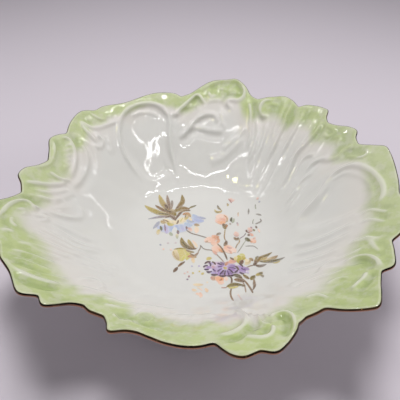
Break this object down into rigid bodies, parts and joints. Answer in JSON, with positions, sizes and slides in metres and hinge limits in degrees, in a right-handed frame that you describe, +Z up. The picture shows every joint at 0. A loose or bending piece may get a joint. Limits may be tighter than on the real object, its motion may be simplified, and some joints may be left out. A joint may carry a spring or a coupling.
{
  "type": "serving bowl",
  "caption": "Round porcelain serving bowl with a scrolled gilt rim, sloping relief wall, flat well with printed flowers, and a raised foot ring.",
  "frame": {"origin": "centre of the foot ring, on the plane that it stands on", "axes": "+Z up along the bowl's turning axis, -Y towards the side that the decoration is read from, +X to that viewer's right"},
  "size_m": [0.2742, 0.2793, 0.0777],
  "materials": {
    "porcelain": "gloss",
    "bare_foot": "matte",
    "gilding": "polished",
    "enamel_blue": "gloss",
    "enamel_yellow": "gloss",
    "enamel_peach": "gloss",
    "enamel_violet": "gloss",
    "enamel_olive": "gloss",
    "enamel_apricot": "gloss"
  },
  "bodies": {
    "root": {"bowl_body": "porcelain", "foot_ring": "bare_foot", "gilt_edge": "gilding", "cornflower_transfer": "enamel_blue", "bud_transfer": "enamel_yellow", "blossom_spray_transfer": "enamel_peach", "violet_posy_transfer": "enamel_violet", "leaf_spray_transfer": "enamel_olive", "sprig_transfer": "enamel_apricot"}
  },
  "joints": []
}
